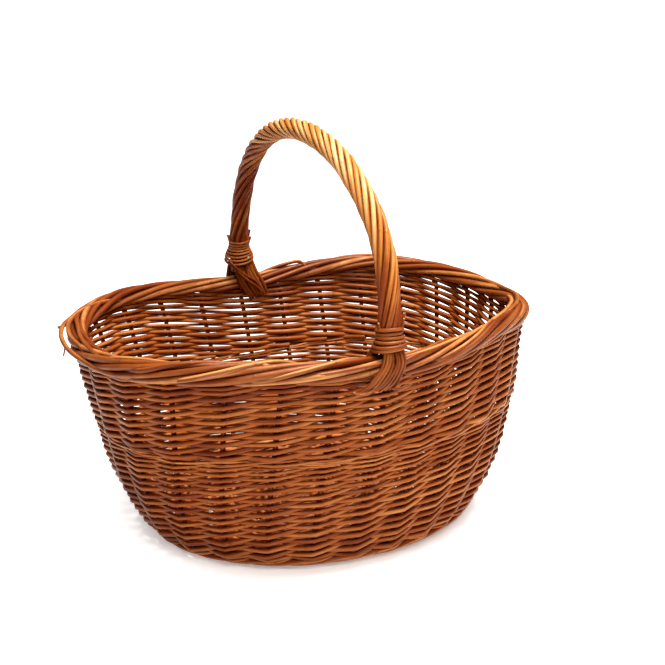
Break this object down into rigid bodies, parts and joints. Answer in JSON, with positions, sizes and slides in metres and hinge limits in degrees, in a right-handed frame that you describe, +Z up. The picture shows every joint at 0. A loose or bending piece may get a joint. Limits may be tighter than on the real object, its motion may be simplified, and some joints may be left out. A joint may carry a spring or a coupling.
{
  "type": "grooming basket",
  "caption": "Oval woven willow basket with stakes, wales, siding, rolled border and a fixed roped cross handle.",
  "frame": {"origin": "on the floor, under the middle of the basket's outer box", "axes": "+X along the length of the basket, +Y to the back foot of the handle, +Z up"},
  "size_m": [0.4546, 0.3662, 0.3894],
  "materials": {
    "siding_willow": "satin",
    "border_willow": "semi-gloss",
    "rope_willow": "semi-gloss",
    "binding_willow": "satin",
    "base_willow": "satin"
  },
  "bodies": {
    "root": {"lower_siding": "siding_willow", "upper_siding": "siding_willow", "base_edge_weave": "base_willow", "middle_wale_1": "siding_willow", "middle_wale_2": "siding_willow", "middle_wale_3": "siding_willow", "foot_wale_1": "siding_willow", "foot_wale_2": "siding_willow", "foot_wale_3": "siding_willow", "stake_01": "border_willow", "stake_02": "border_willow", "stake_03": "border_willow", "stake_04": "border_willow", "stake_05": "border_willow", "stake_06": "border_willow", "stake_07": "border_willow", "stake_08": "border_willow", "stake_09": "border_willow", "stake_10": "border_willow", "stake_11": "border_willow", "stake_12": "border_willow", "stake_13": "border_willow", "stake_14": "border_willow", "stake_15": "border_willow", "stake_16": "border_willow", "stake_17": "border_willow", "stake_18": "border_willow", "stake_19": "border_willow", "stake_20": "border_willow", "stake_21": "border_willow", "stake_22": "border_willow", "stake_23": "border_willow", "stake_24": "border_willow", "stake_25": "border_willow", "border_filler_front": "border_willow", "border_filler_back": "border_willow", "handle_bow": "binding_willow", "handle_rope_1": "rope_willow", "handle_rope_2": "rope_willow", "handle_rope_3": "rope_willow", "handle_rope_4": "rope_willow", "handle_rope_5": "rope_willow", "handle_rope_6": "rope_willow", "front_binding": "binding_willow", "back_binding": "binding_willow", "front_outer_tails": "binding_willow", "front_inner_tails": "binding_willow", "back_outer_tails": "binding_willow", "back_inner_tails": "binding_willow", "long_base_stick_1": "base_willow", "long_base_stick_2": "base_willow", "long_base_stick_3": "base_willow", "cross_base_stick_1": "base_willow", "cross_base_stick_2": "base_willow", "cross_base_stick_3": "base_willow", "cross_base_stick_4": "base_willow", "cross_base_stick_5": "base_willow", "base_weaver_1": "base_willow", "base_weaver_2": "base_willow"}
  },
  "joints": []
}
